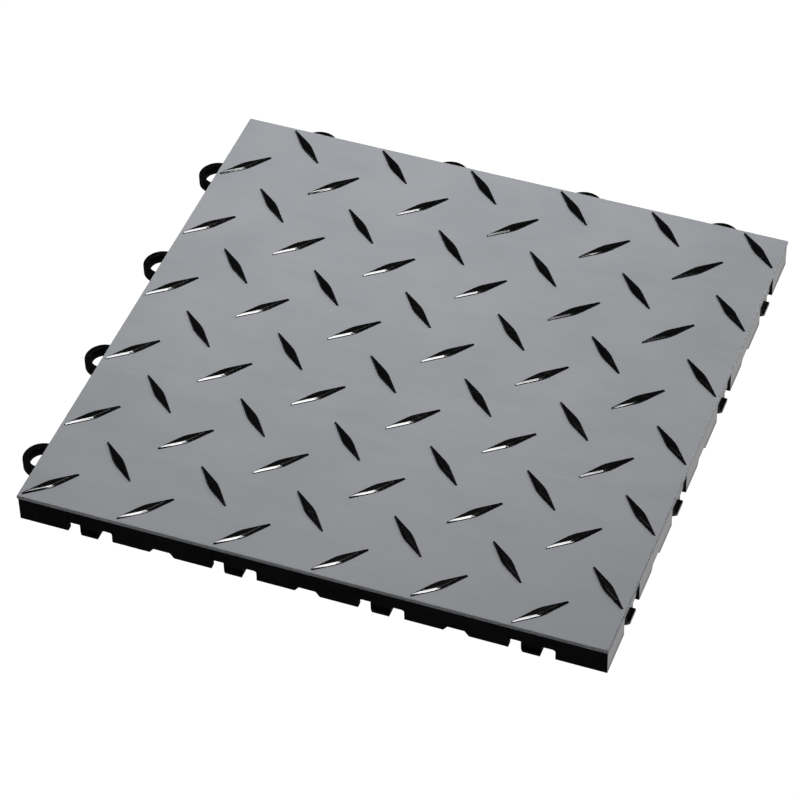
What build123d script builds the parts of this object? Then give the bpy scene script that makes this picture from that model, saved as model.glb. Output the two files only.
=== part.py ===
from build123d import *
from math import acos, atan2, cos, hypot, sin
import os

# Interlocking garage floor tile: a black ribbed base with raised bars, loops and pegs, and a
# grey skin over its deck that the bars come up through.
# Millimetres. The origin is the middle of the tile on the floor, X and Y run along its sides.
# The loops stand out of the -X and +Y sides, the pegs are in notches of the +X and -Y sides.

# Driving dimensions
PITCH = 25.4              # side of one cell of the tread pattern
CELLS = 12                # cells along each side
HEIGHT = 16.1             # walking surface over the floor
SKIN = 2.0                # thickness of the grey skin
SKIN_ROUND = 0.45         # rounding of the skin's top edge
DECK = 2.2                # thickness of the base's deck
WALL = 2.4                # thickness of the side walls
INSET = 0.45              # the skin's edge stands out this far over the side walls

BAR_LENGTH = 30.0         # raised bar, tip to tip
BAR_WIDTH = 5.0           # raised bar, at its middle
BAR_TIP = 0.9             # width of its blunt tips
BAR_BELLY_R = 20.0        # rounding of its wide middle
BAR_RISE = 0.9            # its top over the skin
BAR_BEVEL = 0.4           # how far its sloped flanks run in
BAR_STEP = 0.2            # upright part of its side over the skin
SLOT_FIT = 0.05           # gap between a bar and its slot in the skin

RIB = 1.6                 # thickness of the ribs under the deck
DRAIN = 2.9               # clear height under the ribs, and height of the drain notches
FOOT = 4.8                # side of the square foot under every second crossing of ribs

LOOP_CELLS = 3            # cells from one loop to the next, and from peg to peg
LOOP_R = 10.1             # outer radius of a loop
LOOP_HOLE_R = 6.8         # radius of its hole
LOOP_OUT = 4.4            # centre of a loop outside the tile's square, and of a peg inside it
LOOP_HEIGHT = 5.0         # thickness of a loop
BAY_WIDTH = 23.6          # the wall is set back round each peg: how wide
BAY_DEPTH = 0.85          # and how deep
NOTCH_ROOM = 0.2          # gap over a loop in the notch of its neighbour
NOTCH_ROUND = 1.9         # rounding of the notch's upper corners
PEG_PLAY = 0.35           # least gap between a peg and the loop it snaps into
PEG_TOE = 1.9             # height of the toe that a peg puts out past the wall
PEG_OUT = 0.3             # how far the toe stands out of the tile's square
PEG_FACE = 4.4            # half width of the toe's outer edge
PEG_BEVEL = (2.0, 1.1)    # bevel of the toe's outer corner, along the wall and into it
DRAIN_WIDTH = 8.6         # width of a drain notch at its top
DRAIN_FLARE = 2.2         # how much further each of its sides reaches at the floor

# Worked out from the above
CUT_OVER = 1              # how far a cutter runs past a face
TILE = PITCH * CELLS
EDGE = TILE / 2
SET_BACK = INSET + BAY_DEPTH
DECK_TOP = HEIGHT - SKIN
DECK_UNDER = DECK_TOP - DECK
PEG_R = LOOP_HOLE_R - PEG_PLAY
PEG_SIDE = PEG_FACE + PEG_BEVEL[0]
NOTCH_HEIGHT = LOOP_HEIGHT + NOTCH_ROOM
RIB_LINES = [PITCH * (i + 1) - EDGE for i in range(CELLS - 1)]
CELL_MIDS = [PITCH * (i + 0.5) - EDGE for i in range(CELLS)]
LOOP_PITCH = LOOP_CELLS * PITCH
LOOPS = CELLS // LOOP_CELLS
LOOP_SPOTS = [LOOP_PITCH * (i + 0.5) - EDGE for i in range(LOOPS)]
DRAIN_SPOTS = [LOOP_PITCH * (i + 1) - EDGE for i in range(LOOPS - 1)]


def block(x0, x1, y0, y1, z0, z1):
    """A box given by its faces."""
    return Pos((x0 + x1) / 2, (y0 + y1) / 2, (z0 + z1) / 2) * Box(x1 - x0, y1 - y0, z1 - z0)


def post(x, y, radius, z0, z1):
    """An upright cylinder."""
    return Pos(x, y, (z0 + z1) / 2) * Cylinder(radius, z1 - z0)


def bar_outline(grow):
    """Outline of a bar along X, moved out all round by grow: straight flanks that meet in a round
    belly and run out to small blunt tips."""
    half_length = BAR_LENGTH / 2
    belly_y = BAR_BELLY_R - BAR_WIDTH / 2
    reach = hypot(half_length, BAR_TIP / 2 + belly_y)
    lean = atan2(half_length, BAR_TIP / 2 + belly_y) - acos(BAR_BELLY_R / reach)
    tip = (half_length + grow, BAR_TIP / 2 + grow * (1 - sin(lean)) / cos(lean))
    belly_r = BAR_BELLY_R + grow
    flank = (belly_r * sin(lean), belly_r * cos(lean) - belly_y)
    crown = (0, BAR_WIDTH / 2 + grow)

    def at(point, sx, sy):
        return (sx * point[0], sy * point[1])

    edges = []
    for side in (1, -1):
        edges += [
            ThreePointArc(at(flank, -1, side), at(crown, 1, side), at(flank, 1, side)),
            Line(at(flank, 1, side), at(tip, 1, side)),
            Line(at(flank, -1, side), at(tip, -1, side)),
            Line(at(tip, side, 1), at(tip, side, -1)),
        ]
    return make_face(Wire(edges))


def bar_places():
    """Where the bars lie: every second cell, leaning the other way from one row to the next."""
    places = []
    for row, y in enumerate(reversed(CELL_MIDS)):
        lean = -45 if row % 2 == 0 else 45
        first = 1 if row % 2 == 0 else 0
        places += [Pos(x, y) * Rot(0, 0, lean) for x in CELL_MIDS[first::2]]
    return places


def bar():
    """One raised bar, from the deck through the skin to its flat crest."""
    shoulder = HEIGHT + BAR_STEP
    stem = extrude(Pos(0, 0, DECK_TOP) * bar_outline(0), shoulder - DECK_TOP)
    crest = loft([Pos(0, 0, shoulder) * bar_outline(0),
                  Pos(0, 0, HEIGHT + BAR_RISE) * bar_outline(-BAR_BEVEL)], ruled=True)
    return stem + crest


def drain_cut():
    """A cutter for a drain notch up through the -Y wall, wider at the floor than at its top."""
    half = DRAIN_WIDTH / 2
    low = half + DRAIN_FLARE
    profile = Polyline((-low, 0), (-half, DRAIN), (half, DRAIN), (low, 0), close=True)
    depth = INSET + WALL + CUT_OVER
    return extrude(Pos(0, -CUT_OVER) * make_face(Plane.XZ * profile), depth, dir=(0, 1, 0))


def bay():
    """What a peg's bay takes from the -Y wall: a shallow recess up to the skin and a notch at the
    floor for the neighbour's loop."""
    half = BAY_WIDTH / 2
    recess = block(-half, half, -CUT_OVER, SET_BACK, -CUT_OVER, DECK_TOP)
    notch = fillet(block(-half, half, -CUT_OVER, SET_BACK + WALL, -CUT_OVER, NOTCH_HEIGHT)
                   .edges().filter_by(Axis.Y).group_by(Axis.Z)[-1], NOTCH_ROUND)
    return recess + notch


def bay_wall():
    """The set-back wall that closes a bay above the notch."""
    half = BAY_WIDTH / 2 + WALL
    return block(-half, half, SET_BACK, SET_BACK + WALL, 0, DECK_UNDER)


def peg():
    """A peg hanging from the deck behind its bay, with a low toe out past the wall."""
    far = 2 * LOOP_OUT
    into = PEG_BEVEL[1]
    outline = Polyline((-PEG_FACE, -PEG_OUT), (PEG_FACE, -PEG_OUT), (PEG_FACE, far), (-PEG_FACE, far),
                       (-PEG_SIDE, far - into), (-PEG_SIDE, into - PEG_OUT), close=True)
    prism = extrude(make_face(outline), DECK_UNDER) & post(0, LOOP_OUT, PEG_R, 0, DECK_UNDER)
    toe = prism & block(-PEG_R, PEG_R, -PEG_OUT, SET_BACK, 0, PEG_TOE)
    return prism & block(-PEG_R, PEG_R, SET_BACK, far, 0, DECK_UNDER) + toe


def sides():
    """Placements that turn a thing made at the middle of the -Y side to each of the four."""
    return {name: Rot(0, 0, turn) * Pos(0, -EDGE) for name, turn in
            {"front": 0, "right": 90, "far": 180, "left": 270}.items()}


def make_base():
    """The black base: deck, walls, ribs, feet, bars, loops and pegs in one moulding."""
    outer = EDGE - INSET
    slab = block(-outer, outer, -outer, outer, 0, DECK_TOP)
    inner = outer - WALL
    hollow = block(-inner, inner, -inner, inner, -1, DECK_UNDER)
    ribs = []
    for line in RIB_LINES:
        ribs.append(block(-inner, inner, line - RIB / 2, line + RIB / 2, DRAIN, DECK_UNDER))
        ribs.append(block(line - RIB / 2, line + RIB / 2, -inner, inner, DRAIN, DECK_UNDER))
    feet = [block(x - FOOT / 2, x + FOOT / 2, y - FOOT / 2, y + FOOT / 2, 0, DRAIN)
            for i, x in enumerate(RIB_LINES) for j, y in enumerate(RIB_LINES) if (i + j) % 2 == 0]
    base = slab - hollow
    base = base + ribs + feet

    side = sides()
    peg_places = [side[name] * Pos(spot, 0) for name in ("front", "right") for spot in LOOP_SPOTS]
    drain_places = [place * Pos(spot, 0) for place in side.values() for spot in DRAIN_SPOTS]
    base = base + [place * bay_wall() for place in peg_places]
    base = base - [place * bay() for place in peg_places]
    base = base - [place * drain_cut() for place in drain_places]
    base = base + [place * peg() for place in peg_places]

    ring = post(0, -LOOP_OUT, LOOP_R, 0, LOOP_HEIGHT)
    ring = ring - post(0, -LOOP_OUT, LOOP_HOLE_R, -CUT_OVER, LOOP_HEIGHT + CUT_OVER)
    loop = ring & block(-LOOP_R, LOOP_R, -LOOP_OUT - LOOP_R, INSET, 0, LOOP_HEIGHT)
    loops = [side[name] * Pos(spot, 0) * loop for name in ("far", "left") for spot in LOOP_SPOTS]
    base = base + loops
    one_bar = bar()
    return base + [place * one_bar for place in bar_places()]


def make_skin():
    """The grey skin: a sheet over the deck with a slot for each bar."""
    sheet = block(-EDGE, EDGE, -EDGE, EDGE, DECK_TOP, HEIGHT)
    sheet = fillet(sheet.faces().sort_by(Axis.Z)[-1].edges(), SKIN_ROUND)
    slot = extrude(Pos(0, 0, DECK_TOP - 1) * bar_outline(SLOT_FIT), SKIN + 2)
    return sheet - [place * slot for place in bar_places()]


os.makedirs("parts", exist_ok=True)
for name, solid in {"base": make_base(), "skin": make_skin()}.items():
    solid.label = name
    export_step(solid, f"parts/{name}.step")
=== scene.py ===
"""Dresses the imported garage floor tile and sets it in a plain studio.

The tile is a black moulding with a thin grey skin over its deck. Both keep their CAD meshes. This
script rounds their edges, gives them their plastics, and adds the floor, the lights and the camera.
Lengths are in metres where nothing else is said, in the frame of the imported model: the origin is the
middle of the tile on the floor, +Z is up, +X the right peg side and +Y the far loop side.
"""

from __future__ import annotations

import logging
import math
from dataclasses import dataclass, field
from enum import Enum
from typing import Union

import bpy
from mathutils import Matrix, Vector


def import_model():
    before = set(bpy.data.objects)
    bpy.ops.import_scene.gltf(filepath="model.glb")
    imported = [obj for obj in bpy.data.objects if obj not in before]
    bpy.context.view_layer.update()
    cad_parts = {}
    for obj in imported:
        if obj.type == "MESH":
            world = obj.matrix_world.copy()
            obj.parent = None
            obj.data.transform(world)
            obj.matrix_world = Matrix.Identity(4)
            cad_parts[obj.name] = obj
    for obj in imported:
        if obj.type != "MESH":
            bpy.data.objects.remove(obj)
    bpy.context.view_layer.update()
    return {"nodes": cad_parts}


log = logging.getLogger("floor_tile")

MM = 0.001

Point = tuple[float, float, float]
Colour = tuple[float, float, float]
Nodes = dict[str, bpy.types.Object]
Source = Union[float, tuple[float, ...], bpy.types.NodeSocket]

# Blender's places for the sockets of a Mix node that mixes colours
MIX_SHARE = 0
MIX_FIRST = 6
MIX_SECOND = 7
MIX_RESULT = 2


class Socket(Enum):
    """Kinds of socket that the node groups have."""

    VALUE = "NodeSocketFloat"
    VECTOR = "NodeSocketVector"


@dataclass(frozen=True)
class Noise:
    """How a noise breaks up: its finer layers, how strong they are, and its scale to a length."""

    detail: float
    roughness: float = 0.5
    to_a_length: float = 1.0


@dataclass(frozen=True)
class Drawn:
    """How coordinates are squeezed along X, to a share, and then turned round Z, in degrees."""

    turn: float
    share: float


GRAIN = Noise(detail=2.0, roughness=0.6)
WAVES = Noise(detail=1.0)
CLOUDS = Noise(detail=4.0, roughness=0.55)
STREAKS = Noise(detail=3.0)
STREAK_DRAW = Drawn(turn=38.0, share=0.22)
SCUFF_LINES = Noise(detail=1.0, to_a_length=12.0)
SCUFF_DRAWS = (Drawn(turn=17.0, share=0.03), Drawn(turn=121.0, share=0.05))
SCUFF_PATCHES = Noise(detail=2.0, to_a_length=0.4)

# The parts of two noises that become a scuff's edge and the fade of a scuffed patch
SCUFF_EDGE = (0.66, 0.76)
PATCH_FADE = (0.48, 0.62)


class Graph:
    """Adds nodes to one node tree and joins them."""

    def __init__(self, tree: bpy.types.NodeTree) -> None:
        """Takes over a tree without nodes.

        Args:
            tree: The tree of a material or of a node group.
        """
        self.tree = tree

    def add(self, kind: str, **settings: object) -> bpy.types.Node:
        """Adds a node.

        Args:
            kind: Blender's name for the type of node.
            settings: Attributes of the node to set.

        Returns:
            The new node.
        """
        node = self.tree.nodes.new(kind)
        for name, value in settings.items():
            setattr(node, name, value)
        return node

    def join(self, target: bpy.types.NodeSocket, source: Source) -> None:
        """Joins an input to another node's output, or sets it to a value.

        Args:
            target: The input.
            source: The output, number, vector or colour for it.
        """
        if isinstance(source, bpy.types.NodeSocket):
            self.tree.links.new(source, target)
        else:
            target.default_value = source

    def feed(self, node: bpy.types.Node, **sources: Source) -> None:
        """Joins or sets some of a node's inputs.

        Args:
            node: The node whose inputs are set.
            sources: Values or sockets by input name, with _ for a space.
        """
        for name, source in sources.items():
            self.join(node.inputs[name.replace("_", " ")], source)

    def calc(self, operation: str, *values: Source) -> bpy.types.NodeSocket:
        """Adds a maths node.

        Args:
            operation: Blender's name for the sum.
            values: Its one, two or three inputs, as numbers or sockets.

        Returns:
            The socket with the result.
        """
        node = self.add("ShaderNodeMath", operation=operation)
        for target, source in zip(node.inputs, values):
            self.join(target, source)
        return node.outputs[0]

    def mix(self, share: Source, first: Source, second: Source) -> bpy.types.NodeSocket:
        """Mixes two values.

        Args:
            share: How much the second value counts, from 0 to 1.
            first: The value at 0.
            second: The value at 1.

        Returns:
            The socket with the mixed value.
        """
        rest = self.calc("MULTIPLY", first, self.calc("SUBTRACT", 1.0, share))
        return self.calc("MULTIPLY_ADD", second, share, rest)

    def blend(self, share: Source, first: Source, second: Source) -> bpy.types.NodeSocket:
        """Mixes two colours.

        Args:
            share: How much of the second colour shows, from 0 to 1.
            first: The colour at 0.
            second: The colour at 1.

        Returns:
            The socket with the mixed colour.
        """
        node = self.add("ShaderNodeMix", data_type="RGBA")
        self.join(node.inputs[MIX_SHARE], share)
        for index, colour in ((MIX_FIRST, first), (MIX_SECOND, second)):
            is_socket = isinstance(colour, bpy.types.NodeSocket)
            self.join(node.inputs[index], colour if is_socket else (*colour, 1.0))
        return node.outputs[MIX_RESULT]

    def noise(self, place: Source, length: Source, kind: Noise) -> bpy.types.NodeSocket:
        """Adds a noise in three dimensions.

        Args:
            place: The coordinates, in metres.
            length: The length of its features, in millimetres.
            kind: How it breaks up.

        Returns:
            The socket with the noise, from 0 to 1.
        """
        node = self.add("ShaderNodeTexNoise", noise_dimensions="3D")
        scale = self.calc("DIVIDE", kind.to_a_length / MM, length)
        self.feed(node, Vector=place, Scale=scale, Detail=kind.detail, Roughness=kind.roughness)
        return node.outputs[0]

    def draw_out(self, place: Source, drawn: Drawn) -> bpy.types.NodeSocket:
        """Squeezes coordinates along X, which draws a noise out into streaks along the tile's X.

        The turn comes after that. It doesn't turn the streaks, but takes them from another part of the
        noise.

        Args:
            place: The coordinates.
            drawn: The squeeze and the turn.

        Returns:
            The socket with the new coordinates.
        """
        node = self.add("ShaderNodeMapping")
        turn = (0.0, 0.0, math.radians(drawn.turn))
        self.feed(node, Vector=place, Rotation=turn, Scale=(drawn.share, 1.0, 1.0))
        return node.outputs[0]

    def ramp(self, value: Source, start: float = 0.0, end: float = 1.0, low: float = 0.0,
             high: float = 1.0, smooth: bool = False) -> bpy.types.NodeSocket:
        """Turns one range of values into another, and holds it at its ends.

        Args:
            value: The value to turn.
            start: The value that becomes low.
            end: The value that becomes high.
            low: The result up to the start.
            high: The result from the end on.
            smooth: Whether it eases in and out.

        Returns:
            The socket with the result.
        """
        kind = "SMOOTHSTEP" if smooth else "LINEAR"
        node = self.add("ShaderNodeMapRange", clamp=True, interpolation_type=kind)
        self.feed(node, Value=value, From_Min=start, From_Max=end, To_Min=low, To_Max=high)
        return node.outputs[0]

    def bump(self, height: Source, depth: float,
             normal: bpy.types.NodeSocket | None = None) -> bpy.types.NodeSocket:
        """Bends the normal as a height over the surface would.

        Args:
            height: The height, in depths.
            depth: What a height of 1 stands for, in millimetres.
            normal: The normal to bend, or None for the surface's own.

        Returns:
            The socket with the bent normal.
        """
        node = self.add("ShaderNodeBump")
        self.feed(node, Height=height, Strength=1.0, Distance=depth * MM)
        if normal is not None:
            self.feed(node, Normal=normal)
        return node.outputs[0]

    def split(self, vector: Source) -> bpy.types.NodeOutputs:
        """Splits a vector.

        Args:
            vector: The vector.

        Returns:
            The sockets with its X, Y and Z.
        """
        node = self.add("ShaderNodeSeparateXYZ")
        self.feed(node, Vector=vector)
        return node.outputs

    def use(self, group: bpy.types.NodeTree, **sources: Source) -> bpy.types.NodeSocket:
        """Places a node group with its own values.

        Args:
            group: The group.
            sources: Values or sockets by input name, with _ for a space.

        Returns:
            The socket with the group's result.
        """
        node = self.add("ShaderNodeGroup", node_tree=group)
        self.feed(node, **sources)
        return node.outputs[0]

    def put_out(self, result: bpy.types.NodeSocket) -> bpy.types.NodeTree:
        """Ends a node group with its result.

        Args:
            result: The socket that the group puts out.

        Returns:
            The finished group.
        """
        self.join(self.add("NodeGroupOutput").inputs[0], result)
        return self.tree


def new_group(name: str, result: str, **values: float) -> tuple[Graph, bpy.types.NodeOutputs]:
    """Starts a shader node group that takes a place and some values, and puts out one value.

    Args:
        name: The group's name.
        result: The name of its output.
        values: The defaults of its values by input name, with _ for a space.

    Returns:
        The graph of the group, and the sockets of what it is given, by name.
    """
    tree = bpy.data.node_groups.new(name, "ShaderNodeTree")
    make = tree.interface.new_socket
    make(name="Place", in_out="INPUT", socket_type=Socket.VECTOR.value)
    for label, default in values.items():
        given = make(name=label.replace("_", " "), in_out="INPUT", socket_type=Socket.VALUE.value)
        given.default_value = default
    make(name=result, in_out="OUTPUT", socket_type=Socket.VALUE.value)
    graph = Graph(tree)
    return graph, graph.add("NodeGroupInput").outputs


def new_material(name: str) -> tuple[bpy.types.Material, Graph]:
    """Makes a material that has no nodes yet.

    Args:
        name: The material's name.

    Returns:
        The material and its graph.
    """
    made = bpy.data.materials.new(name)
    made.use_nodes = True
    made.node_tree.nodes.clear()
    return made, Graph(made.node_tree)


def mould_texture_group() -> bpy.types.NodeTree:
    """Makes the fine texture that a mould leaves on plastic: a spark-eroded grain on long soft waves.

    Returns:
        The group, which puts out a height from 0 to 1.
    """
    graph, given = new_group("mould_texture", "Height", Grain=0.5, Waves=30.0, Wave_Share=0.3)
    grain = graph.noise(given["Place"], given["Grain"], GRAIN)
    waves = graph.noise(given["Place"], given["Waves"], WAVES)
    return graph.put_out(graph.mix(given["Wave Share"], grain, waves))


def mottle_group() -> bpy.types.NodeTree:
    """Makes the uneven tone of moulded plastic: clouds, and streaks along the way the melt flowed.

    Returns:
        The group, which puts out a mask from 0 to 1 around 0.5.
    """
    graph, given = new_group("mottle", "Mask", Clouds=45.0, Streaks=9.0, Streak_Share=0.35)
    clouds = graph.noise(given["Place"], given["Clouds"], CLOUDS)
    drawn_out = graph.draw_out(given["Place"], STREAK_DRAW)
    streaks = graph.noise(drawn_out, given["Streaks"], STREAKS)
    return graph.put_out(graph.mix(given["Streak Share"], clouds, streaks))


def scuff_group() -> bpy.types.NodeTree:
    """Makes the few fine marks of handling: thin short lines that come and go.

    Returns:
        The group, which puts out a mask from 0, clean, to 1, marked.
    """
    graph, given = new_group("scuffs", "Mask", Length=14.0, Amount=0.5)
    sets = []
    for drawn in SCUFF_DRAWS:
        noise = graph.noise(graph.draw_out(given["Place"], drawn), given["Length"], SCUFF_LINES)
        sets.append(graph.ramp(noise, *SCUFF_EDGE))
    lines = graph.calc("MAXIMUM", *sets)
    patches = graph.ramp(graph.noise(given["Place"], given["Length"], SCUFF_PATCHES), *PATCH_FADE)
    return graph.put_out(graph.calc("MULTIPLY", graph.calc("MULTIPLY", lines, patches), given["Amount"]))


@dataclass(frozen=True)
class BarSize:
    """Sizes of the tread's bars in millimetres, and the lean of their straight flanks in radians.

    The slope on a crest begins slope_from inside the bar's outline and ends slope_to inside it, both
    measured across the bar. It rises by slope for each millimetre and rounds off over slope_round. What
    stands more than crest_from over the skin counts as the crest.
    """

    pitch: float = 25.4
    length: float = 30.0
    tip: float = 0.9
    belly_radius: float = 20.0
    lean: float = math.radians(8.64)
    crest_from: float = 0.45
    slope_from: float = 0.48
    slope_to: float = 1.15
    slope: float = 1.75
    slope_round: float = 0.25


def over_skin(graph: Graph, height: Source, level: Source) -> bpy.types.NodeSocket:
    """Works out how far a place is over the skin.

    Args:
        graph: The graph to add the nodes to.
        height: Height of the place over the floor, in metres.
        level: Height of the skin over the floor, in metres.

    Returns:
        The socket with the distance in millimetres.
    """
    return graph.calc("DIVIDE", graph.calc("SUBTRACT", height, level), MM)


def in_cell(graph: Graph, coordinate: Source,
            pitch: float) -> tuple[bpy.types.NodeSocket, bpy.types.NodeSocket]:
    """Works out where a place is in the tread's cells, along one side of the tile.

    Args:
        graph: The graph to add the nodes to.
        coordinate: The place along that side, in metres.
        pitch: Side of a cell in millimetres.

    Returns:
        The sockets with the number of the cell, and with the offset from its middle in millimetres.
    """
    in_cells = graph.calc("DIVIDE", coordinate, pitch * MM)
    number = graph.calc("FLOOR", in_cells)
    middle = graph.calc("ADD", number, 0.5)
    return number, graph.calc("MULTIPLY", graph.calc("SUBTRACT", in_cells, middle), pitch)


def foot_group() -> bpy.types.NodeTree:
    """Makes the hollow round the foot of each bar, where its flank runs out into the skin.

    Returns:
        The group, which puts out a height that rises from 0 at the level of the skin to 1 over it.
    """
    graph, given = new_group("bar_foot", "Height", Level=0.0, Rise=0.4)
    over = over_skin(graph, graph.split(given["Place"])[2], given["Level"])
    return graph.put_out(graph.ramp(graph.calc("DIVIDE", over, given["Rise"]), smooth=True))


def shoulder_group() -> bpy.types.NodeTree:
    """Makes the slope along the edges of each bar's crest, which widens the bar's bevelled flank.

    Returns:
        The group, which puts out the height in millimetres: 0 beside the slope, rising towards the
        middle line of the bar.
    """
    graph, given = new_group("bar_shoulder", "Height", Level=0.0)
    size = BarSize()
    place = graph.split(given["Place"])
    x = in_cell(graph, place[0], size.pitch)[1]
    row, y = in_cell(graph, place[1], size.pitch)

    # The bars lie along one diagonal of their cells in even rows, and along the other in odd ones
    rising = graph.calc("ABSOLUTE", graph.calc("ADD", x, y))
    falling = graph.calc("ABSOLUTE", graph.calc("SUBTRACT", x, y))
    odd_row = graph.calc("PINGPONG", row, 1.0)
    swap = graph.calc("MULTIPLY", odd_row, graph.calc("SUBTRACT", falling, rising))
    diagonal = math.sqrt(0.5)
    along = graph.calc("MULTIPLY", graph.calc("ADD", rising, swap), diagonal)
    across = graph.calc("MULTIPLY", graph.calc("SUBTRACT", falling, swap), diagonal)

    to_tip = graph.calc("SUBTRACT", size.length / 2.0, along)
    straight = graph.calc("MULTIPLY_ADD", to_tip, math.tan(size.lean), size.tip / 2.0)
    belly_reach = size.belly_radius * math.sin(size.lean)
    in_belly = graph.calc("MAXIMUM", graph.calc("SUBTRACT", belly_reach, along), 0.0)
    rounding = graph.calc("DIVIDE", graph.calc("POWER", in_belly, 2.0), 2.0 * size.belly_radius)
    inside = graph.calc("SUBTRACT", graph.calc("SUBTRACT", straight, rounding), across)

    held = graph.calc("SMOOTH_MIN", inside, size.slope_to, size.slope_round)
    run = graph.calc("MAXIMUM", graph.calc("SUBTRACT", held, size.slope_from), 0.0)
    slope = graph.calc("MULTIPLY", run, size.slope)
    over = over_skin(graph, place[2], given["Level"])
    on_crest = graph.calc("GREATER_THAN", over, size.crest_from)
    return graph.put_out(graph.calc("MULTIPLY", slope, on_crest))


@dataclass(frozen=True)
class Effects:
    """The node groups that the plastics use, and the height of the skin over the floor in metres."""

    mould_texture: bpy.types.NodeTree
    mottle: bpy.types.NodeTree
    scuffs: bpy.types.NodeTree
    foot: bpy.types.NodeTree
    shoulder: bpy.types.NodeTree
    skin_level: float

    @staticmethod
    def make(skin_level: float) -> Effects:
        """Makes the groups.

        Args:
            skin_level: Height of the skin over the floor, in metres.

        Returns:
            The groups with that height.
        """
        return Effects(mould_texture_group(), mottle_group(), scuff_group(), foot_group(),
                       shoulder_group(), skin_level)


@dataclass(frozen=True)
class Plastic:
    """A moulded plastic. Lengths are in millimetres.

    Its tone goes from dark to light, and its scuffs have their own colour. The mould's texture has a
    grain, waves and a relief, and the mottle has clouds and streaks. A plastic with a foot is that of
    the bars: foot is the depth of the hollow round them and foot_rise its height, and their crests
    get the slope of BarSize. tone_range and shine_range are the parts of the mottle that become the
    whole tone and the whole spread of the roughness, and scuff_roughness is what a scuff adds to it.
    """

    name: str
    dark: Colour
    light: Colour
    scuffed: Colour
    roughness: float
    roughness_spread: float
    ior: float
    grain: float
    waves: float
    wave_share: float
    relief: float
    clouds: float
    streaks: float
    streak_share: float
    scuffs: float
    foot: float = 0.0
    foot_rise: float = 0.4
    tone_range: tuple[float, float] = (0.36, 0.64)
    shine_range: tuple[float, float] = (0.3, 0.7)
    scuff_roughness: float = 0.25

    def tone(self, graph: Graph, mottle: Source, scuffs: Source) -> bpy.types.NodeSocket:
        """Makes the colour.

        Args:
            graph: The graph of the material.
            mottle: The mask of the uneven tone.
            scuffs: The mask of the marks.

        Returns:
            The socket with the colour.
        """
        plain = graph.blend(graph.ramp(mottle, *self.tone_range), self.dark, self.light)
        return graph.blend(scuffs, plain, self.scuffed)

    def shine(self, graph: Graph, mottle: Source, scuffs: Source) -> bpy.types.NodeSocket:
        """Makes the roughness.

        Args:
            graph: The graph of the material.
            mottle: The mask of the uneven tone.
            scuffs: The mask of the marks.

        Returns:
            The socket with the roughness.
        """
        smoothest = self.roughness - self.roughness_spread
        roughest = self.roughness + self.roughness_spread
        plain = graph.ramp(mottle, *self.shine_range, low=smoothest, high=roughest)
        return graph.calc("MULTIPLY_ADD", scuffs, self.scuff_roughness, plain)

    def relief_normal(self, graph: Graph, place: Source, effects: Effects) -> bpy.types.NodeSocket:
        """Makes the normal, from the mould's texture and the forms of the bars.

        Args:
            graph: The graph of the material.
            place: The coordinates on the tile.
            effects: The node groups to place in it.

        Returns:
            The socket with the normal.
        """
        texture = graph.use(effects.mould_texture, Place=place, Grain=self.grain, Waves=self.waves,
                            Wave_Share=self.wave_share)
        normal = graph.bump(texture, self.relief)
        if self.foot:
            level = effects.skin_level
            hollow = graph.use(effects.foot, Place=place, Level=level, Rise=self.foot_rise)
            normal = graph.bump(hollow, self.foot, normal)
            slope = graph.use(effects.shoulder, Place=place, Level=level)
            normal = graph.bump(slope, 1.0, normal)
        return normal

    def material(self, effects: Effects) -> bpy.types.Material:
        """Makes the material.

        Args:
            effects: The node groups to place in it.

        Returns:
            The material, ready for a slot.
        """
        made, graph = new_material(self.name)
        place = graph.add("ShaderNodeTexCoord").outputs["Object"]
        mottle = graph.use(effects.mottle, Place=place, Clouds=self.clouds, Streaks=self.streaks,
                           Streak_Share=self.streak_share)
        scuffs = graph.use(effects.scuffs, Place=place, Amount=self.scuffs)
        shader = graph.add("ShaderNodeBsdfPrincipled")
        graph.feed(shader, Base_Color=self.tone(graph, mottle, scuffs),
                   Roughness=self.shine(graph, mottle, scuffs), IOR=self.ior,
                   Normal=self.relief_normal(graph, place, effects))
        graph.feed(graph.add("ShaderNodeOutputMaterial"), Surface=shader.outputs[0])
        return made


BLACK_GLOSS = Plastic(
    name="black_plastic",
    dark=(0.0012, 0.0012, 0.0013), light=(0.0024, 0.0023, 0.0024), scuffed=(0.02, 0.02, 0.021),
    roughness=0.11, roughness_spread=0.03, ior=1.42,
    grain=0.35, waves=26.0, wave_share=0.8, relief=0.02,
    clouds=30.0, streaks=7.0, streak_share=0.3, scuffs=0.35, foot=0.14, foot_rise=0.45,
)
GREY_SATIN = Plastic(
    name="grey_plastic",
    dark=(0.296, 0.313, 0.330), light=(0.336, 0.342, 0.366), scuffed=(0.42, 0.43, 0.445),
    roughness=0.5, roughness_spread=0.05, ior=1.46,
    grain=0.45, waves=34.0, wave_share=0.5, relief=0.035,
    clouds=48.0, streaks=10.0, streak_share=0.4, scuffs=0.3,
)


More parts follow.
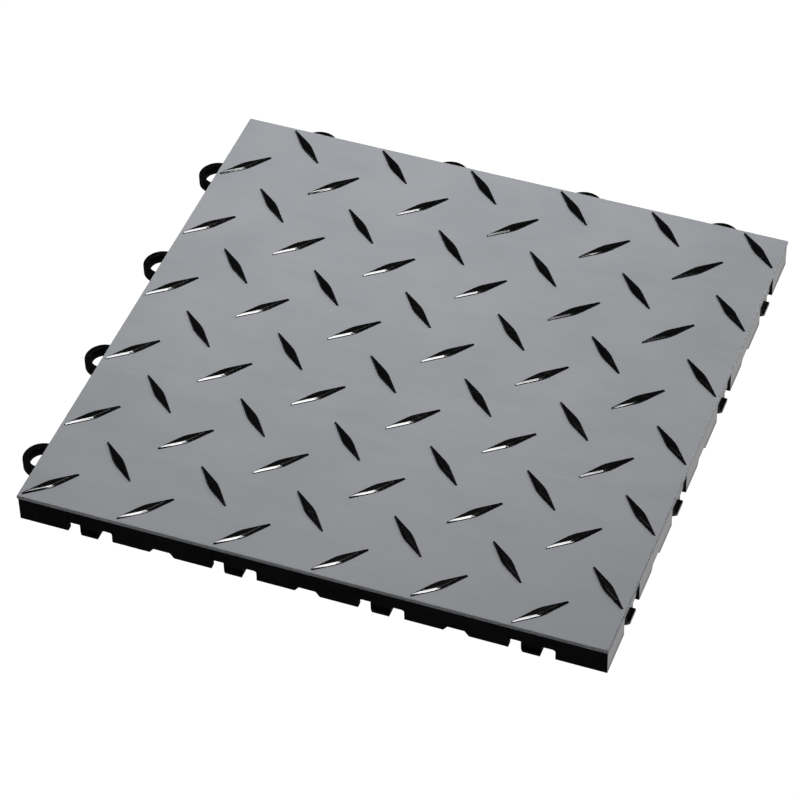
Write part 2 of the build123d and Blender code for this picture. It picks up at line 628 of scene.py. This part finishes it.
@dataclass
class Moulding:
    """One CAD node of the tile, dressed where it is.

    Edges sharper than sharp_from, in degrees, are rounded by edge_round, and corners of the mesh
    nearer to each other than weld are taken as one. Both are in millimetres.
    """

    node: bpy.types.Object
    plastic: Plastic
    edge_round: float
    sharp_from: float = 30.0
    weld: float = 0.002

    def soften_edges(self) -> None:
        """Rounds the edges by a hair, as a mould does, with modifiers that leave the CAD mesh alone."""
        weld = self.node.modifiers.new("join_faces", "WELD")
        weld.merge_threshold = self.weld * MM
        bevel = self.node.modifiers.new("moulded_edges", "BEVEL")
        bevel.limit_method = "ANGLE"
        bevel.angle_limit = math.radians(self.sharp_from)
        bevel.width = self.edge_round * MM
        bevel.segments = 1
        bevel.harden_normals = True

    def dress(self, effects: Effects) -> None:
        """Gives every slot of the node its plastic.

        Args:
            effects: The node groups for the material.
        """
        material = self.plastic.material(effects)
        slots = self.node.data.materials
        if not slots:
            slots.append(material)
        for index in range(len(slots)):
            slots[index] = material


@dataclass
class FloorTile:
    """The whole tile: the black base and the grey skin over it, with their roundings in millimetres."""

    nodes: Nodes
    base_round: float = 0.12
    skin_round: float = 0.06

    def build(self, effects: Effects) -> list[bpy.types.Object]:
        """Dresses both mouldings.

        Args:
            effects: The node groups for their materials.

        Returns:
            The nodes that it dressed.
        """
        mouldings = (
            Moulding(self.nodes["base"], BLACK_GLOSS, self.base_round),
            Moulding(self.nodes["skin"], GREY_SATIN, self.skin_round),
        )
        for moulding in mouldings:
            moulding.dress(effects)
            moulding.soften_edges()
        return [moulding.node for moulding in mouldings]


@dataclass
class Floor:
    """The plain pale floor, which lies a little below the tile.

    The camera sees it as bright as shown. Glossy faces see a painted reflection instead: for their
    rays the floor glows though it is no lamp, dark round the tile as painted shade, and brighter, as
    painted light on the floor beside it, from the right edge of the tile on and far out to the left.
    Each side grows brighter from its line on, over its run along X, by the number that has its name.
    """

    side: float = 12.0
    below: float = 0.00005
    colour: Colour = (0.92, 0.92, 0.92)
    shown: float = 1.03
    # Brightness that glossy faces see round the tile: painted shade in the floor's painted reflection
    painted_shade: float = 0.03
    right: float = 0.75
    right_from: float = 0.151
    right_run: float = 0.002
    left: float = 1.6
    left_from: float = -0.26
    left_run: float = -0.15

    def painted_reflection(self, graph: Graph) -> bpy.types.NodeSocket:
        """Works out the painted reflection: how bright glossy faces see each place of the floor,
        which glows for them though it is no lamp, with painted shade round the tile.

        Args:
            graph: The graph of the floor's material.

        Returns:
            The socket with the brightness.
        """
        x = graph.split(graph.add("ShaderNodeTexCoord").outputs["Object"])[0]
        right = graph.ramp(x, self.right_from, self.right_from + self.right_run, high=self.right)
        left = graph.ramp(x, self.left_from, self.left_from + self.left_run, high=self.left)
        return graph.calc("ADD", graph.calc("ADD", right, left), self.painted_shade)

    def material(self) -> bpy.types.Material:
        """Makes the white finish: bright to look at, a painted reflection to glossy faces, and a matt
        floor to everything it lights.

        Returns:
            The material.
        """
        made, graph = new_material("studio_floor")
        matt = graph.add("ShaderNodeBsdfDiffuse")
        graph.feed(matt, Color=(*self.colour, 1.0))
        glow = graph.add("ShaderNodeEmission")
        graph.feed(glow, Color=(1.0, 1.0, 1.0, 1.0), Strength=self.shown)
        # Painted reflection: an emission that glossy rays alone see, dark round the tile as painted
        # shade and bright beside it
        painted_reflection = graph.add("ShaderNodeEmission")
        graph.feed(painted_reflection, Strength=self.painted_reflection(graph))
        path = graph.add("ShaderNodeLightPath")
        shown = matt.outputs[0]
        for ray, other in (("Is Glossy Ray", painted_reflection), ("Is Camera Ray", glow)):
            both = graph.add("ShaderNodeMixShader")
            for target, source in zip(both.inputs, (path.outputs[ray], shown, other.outputs[0])):
                graph.join(target, source)
            shown = both.outputs[0]
        graph.feed(graph.add("ShaderNodeOutputMaterial"), Surface=shown)
        return made

    def build(self) -> None:
        """Lays the floor."""
        half = self.side / 2
        mesh = bpy.data.meshes.new("studio_floor")
        corners = [(-half, -half, 0.0), (half, -half, 0.0), (half, half, 0.0), (-half, half, 0.0)]
        mesh.from_pydata(corners, [], [(0, 1, 2, 3)])
        mesh.materials.append(self.material())
        floor = bpy.data.objects.new("studio_floor", mesh)
        floor.location = (0.0, 0.0, -self.below)
        bpy.context.scene.collection.objects.link(floor)


@dataclass(frozen=True)
class Softbox:
    """A rectangular light that looks from its place to its aim.

    spread is how wide its light fans out, in degrees. lights_only names the one node of the tile that
    it falls on, and is empty for a light that falls on everything.
    """

    name: str
    place: Point
    width: float
    height: float
    watts: float
    aim: Point = (0.0, 0.0, 0.0)
    spread: float = 180.0
    lights_only: str = ""

    def build(self, nodes: Nodes) -> None:
        """Hangs the light in the studio, turned to what it aims at.

        Args:
            nodes: The tile's nodes by name, for a light that falls on one of them alone.
        """
        data = bpy.data.lights.new(self.name, "AREA")
        data.shape = "RECTANGLE"
        data.size = self.width
        data.size_y = self.height
        data.energy = self.watts
        data.spread = math.radians(self.spread)
        lamp = bpy.data.objects.new(self.name, data)
        lamp.location = self.place
        towards = Vector(self.aim) - Vector(self.place)
        lamp.rotation_euler = towards.to_track_quat("-Z", "Y").to_euler()
        bpy.context.scene.collection.objects.link(lamp)
        if self.lights_only:
            lit = bpy.data.collections.new(f"lit_by_{self.name}")
            lit.objects.link(nodes[self.lights_only])
            lamp.light_linking.receiver_collection = lit


@dataclass
class Studio:
    """The floor, the lights and the even light of the room."""

    room_light: float = 0.05
    room_colour: Colour = (0.97, 0.985, 1.0)
    floor: Floor = field(default_factory=Floor)
    lamps: tuple[Softbox, ...] = (
        Softbox("top", (-0.17, 0.34, 1.10), 0.5, 0.5, 1.78, aim=(-0.12, 0.14, 0.0), spread=70.0),
        Softbox("far_right", (0.80, 1.05, 0.80), 0.6, 0.5, 8.5),
        Softbox("low_front_right", (1.386, -1.461, 0.52), 0.55, 0.42, 30.0, lights_only="base"),
    )

    def build(self, nodes: Nodes) -> None:
        """Makes the room, the floor and the lights.

        Args:
            nodes: The tile's nodes by name.
        """
        world = bpy.data.worlds.new("studio")
        world.use_nodes = True
        background = world.node_tree.nodes["Background"]
        background.inputs["Color"].default_value = (*self.room_colour, 1.0)
        background.inputs["Strength"].default_value = self.room_light
        bpy.context.scene.world = world
        self.floor.build()
        for lamp in self.lamps:
            lamp.build(nodes)


@dataclass
class PhotoCamera:
    """The camera at the photograph's angle.

    Angles are in degrees. aside and above say how far the middle of the tile lies from the middle of
    the picture. The sensor is in millimetres.
    """

    azimuth: float = 21.373
    elevation: float = 44.359
    roll: float = -1.394
    focal_pixels: float = 3557.8
    distance: float = 1.81672
    aside: float = 0.00819
    above: float = 0.00681
    image_pixels: int = 800
    sensor: float = 36.0
    nearest: float = 0.05
    farthest: float = 50.0

    def axes(self) -> tuple[Vector, Vector, Vector]:
        """Returns the camera's right, up and back directions."""
        a, e, r = (math.radians(v) for v in (self.azimuth, self.elevation, self.roll))
        back = Vector((math.sin(a) * math.cos(e), -math.cos(a) * math.cos(e), math.sin(e)))
        level = Vector((0.0, 0.0, 1.0)).cross(back).normalized()
        upright = back.cross(level)
        right = level * math.cos(r) + upright * math.sin(r)
        up = upright * math.cos(r) - level * math.sin(r)
        return right, up, back

    def build(self) -> None:
        """Makes the camera and gives it to the scene."""
        right, up, back = self.axes()
        data = bpy.data.cameras.new("photo_camera")
        data.sensor_width = self.sensor
        data.lens = self.sensor * self.focal_pixels / self.image_pixels
        data.clip_start = self.nearest
        data.clip_end = self.farthest
        camera = bpy.data.objects.new("photo_camera", data)
        place = back * self.distance - right * self.aside - up * self.above
        turn = Matrix((right, up, back)).transposed().to_4x4()
        camera.matrix_world = Matrix.Translation(place) @ turn
        bpy.context.scene.collection.objects.link(camera)
        bpy.context.scene.camera = camera


def top_of(node: bpy.types.Object) -> float:
    """Returns the height of a node's highest point over the floor, in metres.

    Args:
        node: A mesh object.
    """
    return max((node.matrix_world @ vertex.co).z for vertex in node.data.vertices)


def main() -> None:
    """Builds the scene in order and reports the nodes that it dresses and the lamps that it hangs."""
    logging.basicConfig(level=logging.INFO, format="%(message)s")
    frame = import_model()
    PhotoCamera().build()
    effects = Effects.make(top_of(frame["nodes"]["skin"]))
    for node in FloorTile(frame["nodes"]).build(effects):
        log.info("dressed %s", node.name)
    studio = Studio()
    studio.build(frame["nodes"])
    for lamp in studio.lamps:
        log.info("hung %s", lamp.name)
    bpy.context.scene.view_settings.view_transform = "Standard"


if __name__ == "__main__":
    main()
